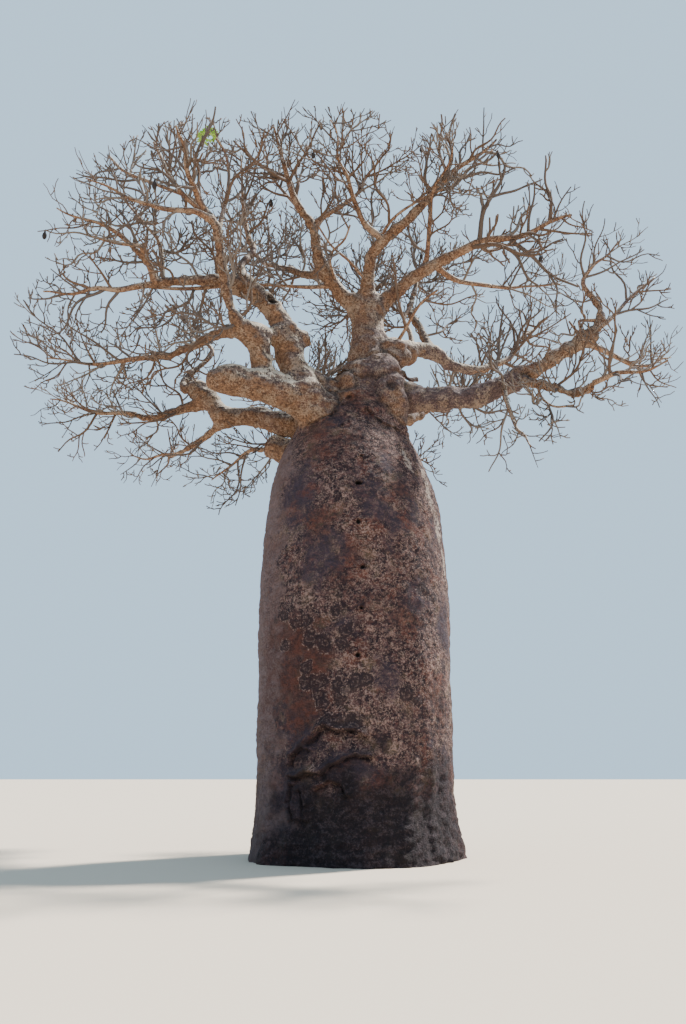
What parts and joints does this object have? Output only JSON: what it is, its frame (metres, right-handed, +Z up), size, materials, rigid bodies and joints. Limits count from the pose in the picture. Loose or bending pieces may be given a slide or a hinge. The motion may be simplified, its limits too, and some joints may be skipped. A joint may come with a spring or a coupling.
{
  "type": "baobab tree",
  "caption": "Bare baobab tree rooted in level ground: barrel trunk, thick tapering boughs and a wide flat crown of leafless twigs.",
  "frame": {"origin": "middle of the flat cut under the trunk, at ground level", "axes": "+Z up along the trunk, +X to the right and +Y away as the picture looks at the tree"},
  "size_m": [16.2638, 12.1608, 16.9553],
  "materials": {
    "trunk_bark": "mottled flaking bark, matt",
    "bough_bark": "mottled bark, matt, paler on top",
    "twig_bark": "smooth grey-brown twig bark, matt"
  },
  "bodies": {
    "root": {"trunk": "trunk_bark", "bough_left_great": "bough_bark", "bough_right_low": "bough_bark", "bough_left_stub": "bough_bark", "bough_left_low": "bough_bark", "bough_top_left": "bough_bark", "bough_top_right": "bough_bark", "bough_right_high": "bough_bark", "bough_right_middle": "bough_bark", "bough_back_high": "bough_bark", "bough_back": "bough_bark", "bough_back_right": "bough_bark", "bough_back_left": "bough_bark", "bough_left_long": "bough_bark", "bough_left_riser": "bough_bark", "bough_left_upright": "bough_bark", "bough_left_fork": "bough_bark", "bough_left_inner": "bough_bark", "bough_left_middle": "bough_bark", "bough_left_low_tip": "bough_bark", "bough_left_low_riser": "bough_bark", "bough_left_low_fall": "bough_bark", "bough_top_middle": "bough_bark", "bough_top_back": "bough_bark", "bough_top_front": "bough_bark", "bough_right_high_fork": "bough_bark", "bough_right_high_riser": "bough_bark", "bough_right_middle_riser": "bough_bark", "bough_right_curl": "bough_bark", "bough_right_low_fork": "bough_bark", "bough_right_low_fall": "bough_bark", "bough_right_low_tip": "bough_bark", "twigs_top_left": "twig_bark", "twigs_top_middle": "twig_bark", "twigs_top_back": "twig_bark", "twigs_top_right": "twig_bark", "twigs_top_front": "twig_bark", "twigs_right_high": "twig_bark", "twigs_right_high_fork": "twig_bark", "twigs_right_high_riser": "twig_bark", "twigs_right_middle": "twig_bark", "twigs_right_middle_riser": "twig_bark", "twigs_right_curl": "twig_bark", "twigs_right_low_fork": "twig_bark", "twigs_right_low_fall": "twig_bark", "twigs_right_low_tip": "twig_bark", "twigs_left_long": "twig_bark", "twigs_left_riser": "twig_bark", "twigs_left_upright": "twig_bark", "twigs_left_fork": "twig_bark", "twigs_left_inner": "twig_bark", "twigs_left_middle": "twig_bark", "twigs_left_low_tip": "twig_bark", "twigs_left_low_riser": "twig_bark", "twigs_left_low_fall": "twig_bark", "twigs_back_high": "twig_bark", "twigs_back": "twig_bark", "twigs_back_right": "twig_bark", "twigs_back_left": "twig_bark", "twigs_shoulder": "twig_bark"}
  },
  "joints": []
}
